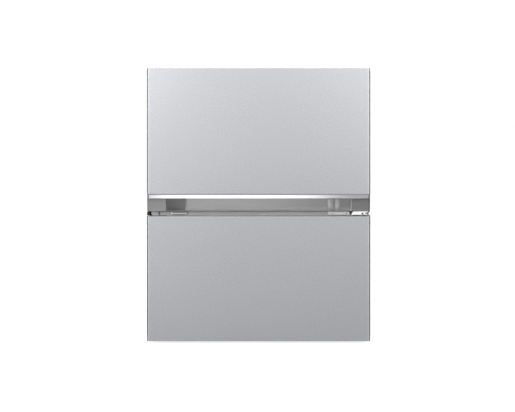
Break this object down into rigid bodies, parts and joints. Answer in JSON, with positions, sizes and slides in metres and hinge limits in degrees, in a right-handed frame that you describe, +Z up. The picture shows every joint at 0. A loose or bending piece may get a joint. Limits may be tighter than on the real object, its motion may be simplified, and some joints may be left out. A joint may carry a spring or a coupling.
{
  "type": "fridge freezer",
  "caption": "Compact two-door fridge freezer with silver doors hinged on the right and a full-width recessed grip between them.",
  "frame": {"origin": "on the floor, under the middle of the box that holds the appliance", "axes": "+X to the right of someone facing the doors, +Y towards the back, +Z up; the doors face -Y"},
  "size_m": [0.595, 0.6, 0.732],
  "materials": {
    "door_steel": "silver metallic coated sheet",
    "cabinet_paint": "silver gray painted sheet",
    "zinc_sheet": "zinc coated sheet",
    "insulation": "rigid foam",
    "liner_white": "smooth molded",
    "rail_gray": "satin gray",
    "hinge_steel": "bright plated",
    "screw_steel": "dark",
    "trim_bright": "satin bright",
    "grip_gray": "satin gray molded",
    "cap_gray": "fine texture",
    "gasket_gray": "soft vinyl",
    "black_plastic": "matte",
    "clear_plastic": "clear molded",
    "shelf_glass": "toughened sheet",
    "compressor_black": "satin enamel",
    "copper": "drawn tube",
    "black_rubber": "matte",
    "condenser_black": "dipped enamel",
    "nylon": "natural",
    "lens_white": "frosted",
    "freezer_metal": "white dipped rods"
  },
  "bodies": {
    "cabinet": {"cabinet_shell": "cabinet_paint", "back_panel": "zinc_sheet", "base_plate": "zinc_sheet", "cabinet_foam": "insulation", "fridge_liner": "liner_white", "freezer_liner": "liner_white", "center_rail": "rail_gray", "rail_cover": "rail_gray", "rail_end_piece": "rail_gray", "rail_buffer": "black_plastic", "hole_plug": "cap_gray", "top_hinge": "hinge_steel", "top_hinge_cover": "cabinet_paint", "middle_hinge": "hinge_steel", "bottom_hinge": "hinge_steel", "hinge_screws": "screw_steel", "roller_brackets": "zinc_sheet", "compressor_base": "zinc_sheet", "compressor": "compressor_black", "compressor_grommets": "black_rubber", "terminal_cover": "black_plastic", "evaporation_tray": "liner_white", "condenser_tube": "condenser_black", "condenser_wires": "condenser_black", "condenser_spacers": "black_plastic", "filter_drier": "copper", "refrigerant_tubes": "copper", "drain_spout": "black_plastic", "power_inlet": "black_plastic", "glass_shelf": "shelf_glass", "crisper_cover": "shelf_glass", "control_housing": "liner_white", "lamp_lens": "lens_white", "evaporator_shelf": "freezer_metal"},
    "fridge_door": {"fridge_door_skin": "door_steel", "fridge_door_liner": "liner_white", "fridge_door_foam": "insulation", "fridge_door_top_cap": "cap_gray", "grip_band": "grip_gray", "grip_trim": "trim_bright", "grip_end_covers": "grip_gray", "fridge_door_gasket": "gasket_gray", "fridge_door_bushes": "nylon", "door_bin_upper": "clear_plastic", "door_bin_lower": "clear_plastic"},
    "freezer_door": {"freezer_door_skin": "door_steel", "freezer_door_liner": "liner_white", "freezer_door_foam": "insulation", "freezer_door_top_cap": "cap_gray", "freezer_door_bottom_cap": "cap_gray", "freezer_door_gasket": "gasket_gray", "freezer_door_bushes": "nylon"},
    "crisper": {"crisper_drawer": "clear_plastic"},
    "upper_freezer_drawer": {"freezer_drawer_upper": "clear_plastic"},
    "lower_freezer_drawer": {"freezer_drawer_lower": "clear_plastic"},
    "dial": {"thermostat_dial": "liner_white"},
    "left_foot": {"front_foot_left": "black_plastic"},
    "right_foot": {"front_foot_right": "black_plastic"},
    "left_roller": {"rear_roller_left": "black_plastic"},
    "right_roller": {"rear_roller_right": "black_plastic"}
  },
  "joints": [
    {"name": "fridge_door_swing", "type": "hinge", "parent": "cabinet", "child": "fridge_door", "pos_m": [0.2755, -0.276, 0.54], "axis": [0, 0, 1], "range_deg": [0, 115]},
    {"name": "freezer_door_swing", "type": "hinge", "parent": "cabinet", "child": "freezer_door", "pos_m": [0.2755, -0.276, 0.18], "axis": [0, 0, 1], "range_deg": [0, 115]},
    {"name": "crisper_slide", "type": "slide", "parent": "cabinet", "child": "crisper", "axis": [0, -1, 0], "range_m": [0, 0.195]},
    {"name": "freezer_drawer_upper_slide", "type": "slide", "parent": "cabinet", "child": "upper_freezer_drawer", "axis": [0, -1, 0], "range_m": [0, 0.175]},
    {"name": "freezer_drawer_lower_slide", "type": "slide", "parent": "cabinet", "child": "lower_freezer_drawer", "axis": [0, -1, 0], "range_m": [0, 0.175]},
    {"name": "thermostat_turn", "type": "hinge", "parent": "cabinet", "child": "dial", "pos_m": [-0.066, -0.142, 0.676], "axis": [0, -1, 0], "range_deg": [0, 270]},
    {"name": "foot_screw_left", "type": "slide", "parent": "cabinet", "child": "left_foot", "axis": [0, 0, -1], "range_m": [0, 0.012]},
    {"name": "foot_screw_right", "type": "slide", "parent": "cabinet", "child": "right_foot", "axis": [0, 0, -1], "range_m": [0, 0.012]},
    {"name": "roller_turn_left", "type": "hinge", "parent": "cabinet", "child": "left_roller", "pos_m": [-0.236, 0.222, 0.015], "axis": [1, 0, 0], "continuous": true},
    {"name": "roller_turn_right", "type": "hinge", "parent": "cabinet", "child": "right_roller", "pos_m": [0.236, 0.222, 0.015], "axis": [1, 0, 0], "continuous": true}
  ],
  "couplings": [
    {"joint": "crisper_slide", "follows": "fridge_door_swing", "m_per_rad": 0.095},
    {"joint": "freezer_drawer_upper_slide", "follows": "freezer_door_swing", "m_per_rad": 0.085},
    {"joint": "freezer_drawer_lower_slide", "follows": "freezer_door_swing", "m_per_rad": 0.085}
  ]
}
